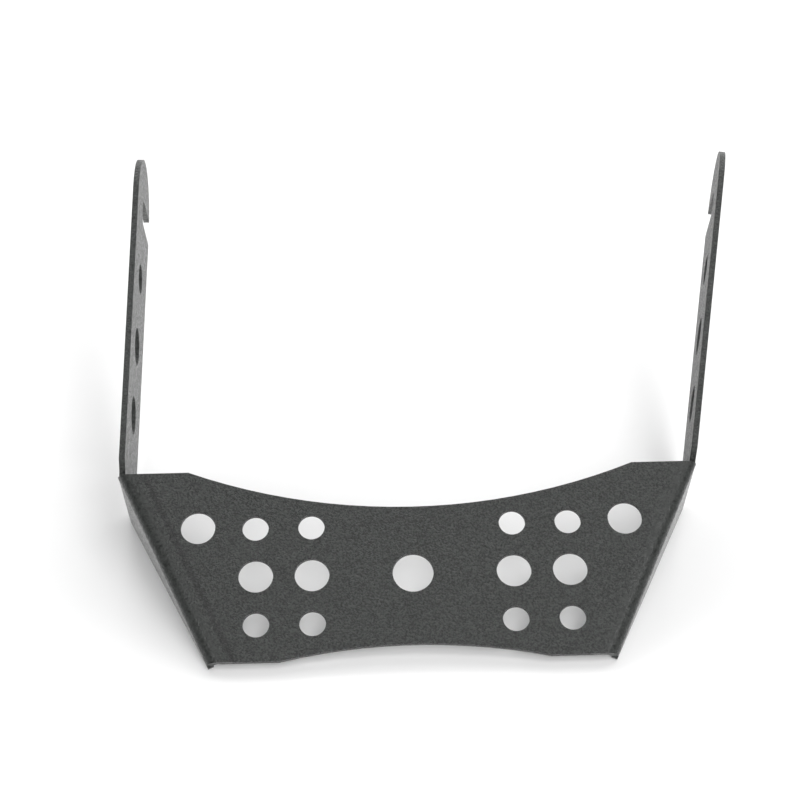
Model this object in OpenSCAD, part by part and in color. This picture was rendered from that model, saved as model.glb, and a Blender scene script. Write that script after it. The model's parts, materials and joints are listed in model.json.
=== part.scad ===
// Light bar bracket: one sheet-metal blank, laser cut and folded into a cradle with two hooked arms.
// It lies on the slanted back edges of its side flanges, the plate facing up and forward.
// X runs along the plate, Y away from the viewer, Z up. All sizes are in millimetres.

/* [Sheet] */
// Thickness of the sheet
sheet_t = 1.5; // [1:0.1:3]
// Inner radius of every fold
fold_inner_r = 1.2; // [0.6:0.1:2.5]

/* [Plate] */
// Height of the plate's top edge above its centre hole
plate_top = 27.5; // [22:0.5:34]
// Depth of the plate's bottom edge below its centre hole
plate_bottom = 21.7; // [18:0.1:26]
// Distance of the left fold line from the centre hole
left_half_w = 57.1; // [54:0.1:66]
// Distance of the right fold line from the centre hole
right_half_w = 55.8; // [54:0.1:66]
// Lean of the side fold lines away from the plate's centre line
fold_line_lean = 24.4; // [10:0.1:26]
// Radius of the long arcs that waist the plate
waist_r = 150; // [120:5:200]
// Distance from the centre hole up to the top arc
waist_above = 17.1; // [14:0.1:22]
// Distance from the centre hole down to the bottom arc
waist_below = 18.1; // [15:0.1:21]

/* [Plate holes] */
// Hole at the centre of the plate
centre_hole_d = 10; // [8:0.5:12]
// Holes of the middle row, and the outermost pair above it
medium_hole_d = 8.5; // [6:0.5:10]
// Holes of the top and bottom rows
small_hole_d = 6.5; // [4:0.5:8]
// Distance of the inner hole columns from the centre line
inner_column = 24.6; // [20:0.1:28]
// Distance of the outer hole columns from the centre line
outer_column = 38.3; // [34:0.1:42]
// Distance of the outermost holes from the centre line
end_hole_x = 52.4; // [48:0.1:56]
// Distance between the hole rows
row_pitch = 12.4; // [10:0.1:14]
// Height of the outermost holes above the centre hole
end_hole_y = 12.9; // [10:0.1:16]

/* [Flanges] */
// Depth of a flange at its lower end, behind its fold
flange_foot = 0.5; // [0.5:0.1:6]
// Depth of a flange at the arm, behind the plate's front face
flange_depth = 30.7; // [26:0.1:36]

/* [Arms] */
// Fold at the foot of the left arm
left_arm_fold = 26.1; // [10:0.1:30]
// Fold at the foot of the right arm
right_arm_fold = 15; // [5:0.1:30]
// Width of an arm
arm_w = 28; // [20:0.5:32]
// Length of an arm, from its fold to its tip
arm_len = 94.4; // [88:0.1:110]

/* [Arm holes] */
// Holes in the lower part of an arm
arm_hole_d = 10; // [6:0.5:12]
// Hole below the hook slot
arm_top_hole_d = 8; // [5:0.5:10]
// Distance of the lowest arm hole from the arm's fold
arm_first_hole = 21.8; // [15:0.1:26]
// Distance from one arm hole to the next, and on to the seat of the hook slot
arm_pitch = 19.4; // [14:0.1:20]
// Width of the hook slot
slot_w = 6.5; // [4:0.5:8]
// Slope of the hook slot, which rises from its seat to its mouth
slot_slope = 5; // [0:1:12]

/* [Hidden] */
$fn = 96;
cut = 5;
fold_steps = 6;
fold_outer_r = fold_inner_r + sheet_t;
// The flange's slanted back edge, which the bracket lies on.
foot_z = -fold_outer_r - flange_foot;
rest_tilt = atan((flange_depth + foot_z) / (plate_top + plate_bottom));
// Edges of an arm: near the plate's front face, and far behind it.
arm_near = 0;
arm_far = -arm_w;
arm_middle = (arm_near + arm_far) / 2;

// Height in the plate, measured along a slanted fold line instead.
function along_fold(height) = height / cos(fold_line_lean);

// Points of an arc about the origin, from one angle to another.
function arc(r, from, to) = [
    for (i = [0:fold_steps])
        let (a = from + (to - from) * i / fold_steps)
            [r * cos(a), r * sin(a)]
];

// Extrudes a side view, drawn with Y across and Z up, along X.
module side_view(from, to) {
    rotate([90, 0, 90])
        translate([0, 0, from])
            linear_extrude(to - from)
                children();
}

module plate_hole(x, y, d) {
    translate([x, y, -cut])
        cylinder(d = d, h = 2 * cut);
}

module plate() {
    lean = tan(fold_line_lean);
    left_w = left_half_w - flange_foot;
    right_w = right_half_w - flange_foot;
    difference() {
        translate([0, 0, -sheet_t])
            linear_extrude(sheet_t)
                polygon([
                    [-left_w + lean * plate_bottom, -plate_bottom],
                    [right_w - lean * plate_bottom, -plate_bottom],
                    [right_w + lean * plate_top, plate_top],
                    [-left_w - lean * plate_top, plate_top]
                ]);
        plate_hole(0, waist_above + waist_r, 2 * waist_r);
        plate_hole(0, -waist_below - waist_r, 2 * waist_r);
        plate_hole(0, 0, centre_hole_d);
        for (side = [-1, 1]) {
            plate_hole(side * end_hole_x, end_hole_y, medium_hole_d);
            for (x = [inner_column, outer_column]) {
                plate_hole(side * x, row_pitch, small_hole_d);
                plate_hole(side * x, 0, medium_hole_d);
                plate_hole(side * x, -row_pitch, small_hole_d);
            }
        }
    }
}

// Square fold along a fold line, which is the local Y axis, with a lip of plate and of flange.
module plate_fold() {
    length = 2 * plate_top + 2 * plate_bottom;
    rotate([90, 0, 0])
        translate([0, 0, -length / 2])
            linear_extrude(length) {
                translate([-2 * flange_foot, -sheet_t])
                    square([2 * flange_foot, sheet_t]);
                translate([fold_inner_r, foot_z])
                    square([sheet_t, flange_foot]);
                difference() {
                    translate([0, -fold_outer_r])
                        intersection() {
                            circle(fold_outer_r);
                            square(fold_outer_r);
                        }
                    translate([0, -fold_outer_r])
                        circle(fold_inner_r);
                }
            }
}

// The sheet of one flange and its arm, seen edge on, before its outline is cut.
module bent_strip(arm_fold, foot_y, fold_y) {
    reach = arm_len * [-sin(arm_fold), cos(arm_fold)];
    bend = [0, fold_y];
    outer = [for (p = arc(fold_outer_r, 0, arm_fold)) bend + p];
    inner = [for (p = arc(fold_inner_r, arm_fold, 0)) bend + p];
    translate([0, 0, -flange_depth])
        linear_extrude(flange_depth)
            polygon(concat(
                [[fold_outer_r, foot_y]],
                outer,
                [outer[fold_steps] + reach, inner[0] + reach],
                inner,
                [[fold_inner_r, foot_y]]
            ));
}

// Outline of a flange: a triangle that deepens from the plate's bottom edge to the arm.
module flange_outline(foot_y, fold_y) {
    polygon([
        [foot_y, -fold_outer_r],
        [foot_y, foot_z],
        [fold_y, -flange_depth],
        [fold_y, -flange_depth - cut],
        [fold_y + sheet_t, -flange_depth - cut],
        [fold_y + sheet_t, -fold_outer_r]
    ]);
}

// Outline of an arm, with its fold at Y = 0: a straight strip with a round head.
module arm_outline() {
    head_y = arm_len - arm_w / 2;
    polygon([
        [0, -fold_outer_r],
        [sheet_t, -fold_outer_r],
        [sheet_t + fold_outer_r, arm_near],
        [head_y, arm_near],
        [head_y, arm_far],
        [sheet_t + fold_outer_r, arm_far],
        [sheet_t, -flange_depth - cut],
        [0, -flange_depth - cut]
    ]);
    translate([head_y, arm_middle])
        circle(d = arm_w);
}

// The arm's holes, and the open slot that makes its head a hook.
module arm_cuts() {
    seat_y = arm_first_hole + 3 * arm_pitch;
    for (i = [0:2])
        translate([arm_first_hole + i * arm_pitch, arm_middle])
            circle(d = i < 2 ? arm_hole_d : arm_top_hole_d);
    translate([seat_y, arm_middle])
        rotate(slot_slope) {
            circle(d = slot_w);
            translate([-slot_w / 2, -arm_w])
                square([slot_w, arm_w]);
        }
}

// Right-hand side: the flange behind its slanted fold line, and the arm on the flange's top end.
module side(half_w, arm_fold) {
    foot_y = along_fold(-plate_bottom);
    fold_y = along_fold(plate_top);
    intersection() {
        translate([half_w, 0, 0])
            rotate([0, 0, -fold_line_lean]) {
                plate_fold();
            }
        translate([0, -plate_bottom, -flange_depth])
            cube([2 * half_w, plate_top + plate_bottom, 2 * flange_depth]);
    }
    translate([half_w, 0, 0])
        rotate([0, 0, -fold_line_lean])
            difference() {
                intersection() {
                    bent_strip(arm_fold, foot_y + flange_foot, fold_y);
                    union() {
                        side_view(-cut, cut)
                            flange_outline(foot_y, fold_y);
                        translate([0, fold_y, 0])
                            rotate([0, 0, arm_fold])
                                side_view(-cut, cut)
                                    arm_outline();
                    }
                }
                translate([0, fold_y, 0])
                    rotate([0, 0, arm_fold])
                        side_view(-cut, cut)
                            arm_cuts();
            }
}

module bracket() {
    color("#3b3e3c")
        rotate([rest_tilt, 0, 0]) {
            plate();
            side(right_half_w, right_arm_fold);
            mirror([1, 0, 0])
                side(left_half_w, left_arm_fold);
        }
}

bracket();
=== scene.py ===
"""Light bar bracket: a folded, powder-coated sheet on a pale studio floor."""

import json
import math

import bpy
from mathutils import Matrix, Vector


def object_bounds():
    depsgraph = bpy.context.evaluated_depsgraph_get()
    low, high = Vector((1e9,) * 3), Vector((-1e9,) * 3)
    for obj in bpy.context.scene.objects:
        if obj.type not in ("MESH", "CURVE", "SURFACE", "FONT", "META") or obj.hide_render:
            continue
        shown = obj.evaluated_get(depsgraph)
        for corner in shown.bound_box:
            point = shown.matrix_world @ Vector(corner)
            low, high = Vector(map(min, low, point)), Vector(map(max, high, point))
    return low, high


MM = 0.001

# Camera, as in the photograph: a long lens, looking down on the plate from the front.
CAMERA_AIM = Vector((-2.0, 40.0, 22.3)) * MM
CAMERA_DISTANCE = 624.3 * MM
CAMERA_ELEVATION = math.radians(37.2)
CAMERA_AZIMUTH = math.radians(0.76)
CAMERA_ROLL = math.radians(-0.9)
CAMERA_LENS = 112.1
CAMERA_SENSOR = 36
CAMERA_CLIP = 50 * MM

# Softboxes: name, azimuth and elevation in degrees, distance and size in metres, power in watts.
LIGHT_AIM = Vector((0, 0.03, 0))
LIGHTS = (
    ("front", 174, 35, 1.3, 0.8, 12.0),
    ("high_front", 180, 60, 1.3, 0.6, 1.4),
    ("back", 0, 35, 1.3, 0.9, 7.7),
    ("back_right", 45, 35, 1.3, 0.8, 4.0),
    ("back_left", 315, 35, 1.3, 0.6, 3.3),
    ("high_front_right", 135, 62, 1.3, 0.5, 4.1),
    ("high_back_right", 45, 62, 1.3, 0.5, 2.1),
)
WORLD_STRENGTH = 0.1

# Floor, with its side in metres.
FLOOR_SIZE = 6
FLOOR_COLOUR = (0.9, 0.9, 0.9)
FLOOR_ROUGHNESS = 0.7

# Powder coat. Noise around its mean of a half gives the wrinkle, and a coarser noise the gloss patches.
COAT_DARK = (0.004, 0.0044, 0.0042)
COAT_LIGHT = (0.037, 0.041, 0.038)
COAT_IOR = 1.5
COAT_SHEEN = 0.3
COAT_SHEEN_ROUGHNESS = 0.35
COAT_GRAIN = 0.48 * MM
COAT_BUMP = 0.45 * MM
GRAIN_DETAIL = 2
GRAIN_DARKEST = 0.4
GRAIN_LIGHTEST = 0.6
PATCH_GRAIN = 2 * COAT_GRAIN
PATCH_DETAIL = 3
PATCH_GLOSSIEST = 0.38
PATCH_MATTEST = 0.64
GLOSSY_ROUGHNESS = 0.28
MATT_ROUGHNESS = 0.68
NOISE_MEAN = 0.5
NOISE_ROUGHNESS = 0.6

# The plate's cut walls: how little they face along its normal, and how much painted shade darkens their
# grain.
WALL_FACING = 0.3
WALL_PAINTED_SHADE = 0.3

# The fold lines at the plate's ends. The press left each fold's outside soft and smooth over a band,
# and a shallow crease beside the left one, whose shade is painted in as a faint darker line.
FOLD_LEAN = math.radians(24.4)
LEFT_FOLD = 57.1 * MM
RIGHT_FOLD = 55.8 * MM
PLATE_TOP = 27.5 * MM
BAND_INSIDE = 3 * MM
BAND_SMOOTHING = 0.6
PRESS_LINE = 3.3 * MM
PRESS_LINE_WIDTH = 1.3 * MM
PRESS_CREASE_SHADE = 0.12

# Broken cut edges: the mesh is welded and its flat faces merged before its sharp edges are rounded.
WELD_DISTANCE = 0.001 * MM
FLAT_ANGLE = math.radians(0.5)
EDGE_ANGLE = math.radians(40)
EDGE_RADIUS = 0.22 * MM
EDGE_SEGMENTS = 3

# Level direction along the plate, to the viewer's right.
RIGHT = Vector((1, 0, 0))


def node_tree(name):
    """A new material with its nodes cleared, and its output."""
    material = bpy.data.materials.new(name)
    material.use_nodes = True
    tree = material.node_tree
    tree.nodes.clear()
    output = tree.nodes.new("ShaderNodeOutputMaterial")
    return material, tree, output


def noise(tree, point, size, detail):
    """Noise whose grains are about the given size, in the object's own space."""
    texture = tree.nodes.new("ShaderNodeTexNoise")
    texture.inputs["Scale"].default_value = 1 / size
    texture.inputs["Detail"].default_value = detail
    texture.inputs["Roughness"].default_value = NOISE_ROUGHNESS
    tree.links.new(point, texture.inputs["Vector"])
    return texture.outputs["Fac"]


def ramp(tree, value, stops):
    """Colours over a value's range, from stops of a position and a colour."""
    colours = tree.nodes.new("ShaderNodeValToRGB")
    for element, (position, colour) in zip(colours.color_ramp.elements, stops):
        element.position = position
        element.color = (*colour, 1)
    tree.links.new(value, colours.inputs["Fac"])
    return colours.outputs["Color"]


def grey(value):
    """A colour without hue."""
    return (value, value, value)


def calculate(tree, operation, *values):
    """A maths node whose inputs are numbers or other nodes' outputs."""
    node = tree.nodes.new("ShaderNodeMath")
    node.operation = operation
    for socket, value in zip(node.inputs, values):
        if isinstance(value, bpy.types.NodeSocket):
            tree.links.new(value, socket)
        else:
            socket.default_value = value
    return node.outputs["Value"]


def along(tree, vector, direction):
    """How far a vector output reaches along a fixed direction."""
    node = tree.nodes.new("ShaderNodeVectorMath")
    node.operation = "DOT_PRODUCT"
    tree.links.new(vector, node.inputs[0])
    node.inputs[1].default_value = direction
    return node.outputs["Value"]


def step(tree, value, start, end):
    """A smooth step from 0 to 1."""
    node = tree.nodes.new("ShaderNodeMapRange")
    node.interpolation_type = "SMOOTHSTEP"
    node.inputs["From Min"].default_value = start
    node.inputs["From Max"].default_value = end
    tree.links.new(value, node.inputs["Value"])
    return node.outputs["Result"]


def past_fold(tree, point, up, side, half_width):
    """How far a point lies outside the plate's left fold line, for side -1, or its right one, for 1."""
    outward = side * math.cos(FOLD_LEAN) * RIGHT - math.sin(FOLD_LEAN) * up
    return calculate(tree, "SUBTRACT", along(tree, point, outward), half_width * math.cos(FOLD_LEAN))


def press_crease_shading(tree, past_left, on_plate):
    """1 on the line beside the left fold where the press crease's shade is painted, fading to 0 at its
    sides.
    """
    off_line = calculate(tree, "ABSOLUTE", calculate(tree, "ADD", past_left, PRESS_LINE))
    line = calculate(tree, "SUBTRACT", 1.0, step(tree, off_line, 0, PRESS_LINE_WIDTH))
    return calculate(tree, "MULTIPLY", line, on_plate)


def cut_walls(tree, face, past, on_plate):
    """1 on the cut walls of the plate between its folds, and 0 elsewhere."""
    normal = tree.nodes.new("ShaderNodeNewGeometry").outputs["True Normal"]
    facing = calculate(tree, "ABSOLUTE", along(tree, normal, face))
    wall = calculate(tree, "LESS_THAN", facing, WALL_FACING)
    wall = calculate(tree, "MULTIPLY", wall, calculate(tree, "LESS_THAN", past, -BAND_INSIDE))
    return calculate(tree, "MULTIPLY", wall, on_plate)


def powder_coat(face):
    """Charcoal powder coat with a fine wrinkle, which fades along the plate's folds."""
    material, tree, output = node_tree("powder_coat")
    shader = tree.nodes.new("ShaderNodeBsdfPrincipled")
    shader.inputs["IOR"].default_value = COAT_IOR
    shader.inputs["Sheen Weight"].default_value = COAT_SHEEN
    shader.inputs["Sheen Roughness"].default_value = COAT_SHEEN_ROUGHNESS

    # Places on the plate.
    point = tree.nodes.new("ShaderNodeTexCoord").outputs["Object"]
    up = face.cross(RIGHT)
    past_left = past_fold(tree, point, up, -1, LEFT_FOLD)
    past_right = past_fold(tree, point, up, 1, RIGHT_FOLD)
    past = calculate(tree, "MAXIMUM", past_left, past_right)
    on_plate = calculate(tree, "LESS_THAN", along(tree, point, up), PLATE_TOP)
    line = press_crease_shading(tree, past_left, on_plate)
    wall = cut_walls(tree, face, past, on_plate)

    # Colour: the wrinkle's grain, with painted shade along the press crease and on the cut walls.
    smooth = calculate(tree, "MULTIPLY", step(tree, past, -BAND_INSIDE, 0), BAND_SMOOTHING)
    kept = calculate(tree, "SUBTRACT", 1.0, calculate(tree, "MULTIPLY", smooth, on_plate))
    wrinkle = calculate(tree, "SUBTRACT", noise(tree, point, COAT_GRAIN, GRAIN_DETAIL), NOISE_MEAN)
    grain = calculate(tree, "MULTIPLY_ADD", wrinkle, kept, NOISE_MEAN)
    # Painted shade: the grain is darkened along the press crease beside the left fold.
    shade = calculate(tree, "MULTIPLY_ADD", line, -PRESS_CREASE_SHADE, grain)
    # Painted shade: the cut walls' grain is darkened where shade falls in the holes.
    shade = calculate(tree, "MULTIPLY_ADD", wall, -WALL_PAINTED_SHADE, shade)
    colour = ramp(tree, shade, ((GRAIN_DARKEST, COAT_DARK), (GRAIN_LIGHTEST, COAT_LIGHT)))
    tree.links.new(colour, shader.inputs["Base Color"])

    # Gloss patches, with matt cut walls.
    patches = calculate(tree, "ADD", noise(tree, point, PATCH_GRAIN, PATCH_DETAIL), wall)
    gloss_stops = ((PATCH_GLOSSIEST, grey(GLOSSY_ROUGHNESS)), (PATCH_MATTEST, grey(MATT_ROUGHNESS)))
    tree.links.new(ramp(tree, patches, gloss_stops), shader.inputs["Roughness"])

    bump = tree.nodes.new("ShaderNodeBump")
    bump.inputs["Distance"].default_value = COAT_BUMP
    tree.links.new(grain, bump.inputs["Height"])
    tree.links.new(bump.outputs["Normal"], shader.inputs["Normal"])
    tree.links.new(shader.outputs["BSDF"], output.inputs["Surface"])
    return material


def floor_paint():
    """Plain paint, nearly white."""
    material, tree, output = node_tree("studio_floor")
    shader = tree.nodes.new("ShaderNodeBsdfPrincipled")
    shader.inputs["Base Color"].default_value = (*FLOOR_COLOUR, 1)
    shader.inputs["Roughness"].default_value = FLOOR_ROUGHNESS
    tree.links.new(shader.outputs["BSDF"], output.inputs["Surface"])
    return material


def dress(bracket, material):
    """Gives the CAD node its coat and breaks its cut edges."""
    bracket.data.materials.clear()
    bracket.data.materials.append(material)
    weld = bracket.modifiers.new("weld", "WELD")
    weld.merge_threshold = WELD_DISTANCE
    flatten = bracket.modifiers.new("flatten", "DECIMATE")
    flatten.decimate_type = "DISSOLVE"
    flatten.angle_limit = FLAT_ANGLE
    bevel = bracket.modifiers.new("edges", "BEVEL")
    bevel.width = EDGE_RADIUS
    bevel.segments = EDGE_SEGMENTS
    bevel.limit_method = "ANGLE"
    bevel.angle_limit = EDGE_ANGLE
    bevel.harden_normals = True


def floor(height):
    """The studio floor, level with the bracket's lowest point."""
    bpy.ops.mesh.primitive_plane_add(size=FLOOR_SIZE, location=(0, 0, height))
    plane = bpy.context.object
    plane.name = "studio_floor"
    plane.data.materials.append(floor_paint())


def area_light(name, azimuth, elevation, distance, size, power):
    """A square light aimed at the bracket, from a compass direction where 0 is behind and 90 is right."""
    turn = math.radians(azimuth)
    rise = math.radians(elevation)
    away = Vector((math.sin(turn) * math.cos(rise), math.cos(turn) * math.cos(rise), math.sin(rise)))
    data = bpy.data.lights.new(name, "AREA")
    data.shape = "SQUARE"
    data.size = size
    data.energy = power
    light = bpy.data.objects.new(name, data)
    light.location = LIGHT_AIM + away * distance
    light.rotation_euler = (-away).to_track_quat("-Z", "Y").to_euler()
    bpy.context.collection.objects.link(light)


def lights():
    """The softboxes, and a faint even light from all round."""
    for light in LIGHTS:
        area_light(*light)
    world = bpy.data.worlds.new("studio")
    bpy.context.scene.world = world
    world.use_nodes = True
    background = world.node_tree.nodes["Background"]
    background.inputs["Color"].default_value = (1, 1, 1, 1)
    background.inputs["Strength"].default_value = WORLD_STRENGTH


def camera():
    """The photograph's view, as the scene's camera."""
    forward = Vector((
        math.sin(CAMERA_AZIMUTH) * math.cos(CAMERA_ELEVATION),
        math.cos(CAMERA_AZIMUTH) * math.cos(CAMERA_ELEVATION),
        -math.sin(CAMERA_ELEVATION),
    ))
    data = bpy.data.cameras.new("camera")
    data.lens = CAMERA_LENS
    data.sensor_width = CAMERA_SENSOR
    data.clip_start = CAMERA_CLIP
    view = bpy.data.objects.new("camera", data)
    turn = forward.to_track_quat("-Z", "Y").to_matrix().to_4x4() @ Matrix.Rotation(CAMERA_ROLL, 4, "Z")
    view.matrix_world = Matrix.Translation(CAMERA_AIM - forward * CAMERA_DISTANCE) @ turn
    bpy.context.collection.objects.link(view)
    bpy.context.scene.camera = view


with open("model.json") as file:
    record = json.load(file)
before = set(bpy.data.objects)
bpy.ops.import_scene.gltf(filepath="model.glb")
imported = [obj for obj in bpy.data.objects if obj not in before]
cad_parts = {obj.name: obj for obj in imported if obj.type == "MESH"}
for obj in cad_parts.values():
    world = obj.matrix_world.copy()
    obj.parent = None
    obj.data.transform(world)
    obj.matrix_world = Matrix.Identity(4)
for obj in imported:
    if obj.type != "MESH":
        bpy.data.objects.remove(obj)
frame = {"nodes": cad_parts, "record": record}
cad_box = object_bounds()
mounts = {mount["name"]: mount for mount in frame["record"]["mounts"]}
plate_face = Vector(mounts["centre_hole"]["axis"])
dress(frame["nodes"]["bracket"], powder_coat(plate_face))
floor(cad_box[0][2])
lights()
camera()
bpy.context.scene.view_settings.view_transform = "Standard"
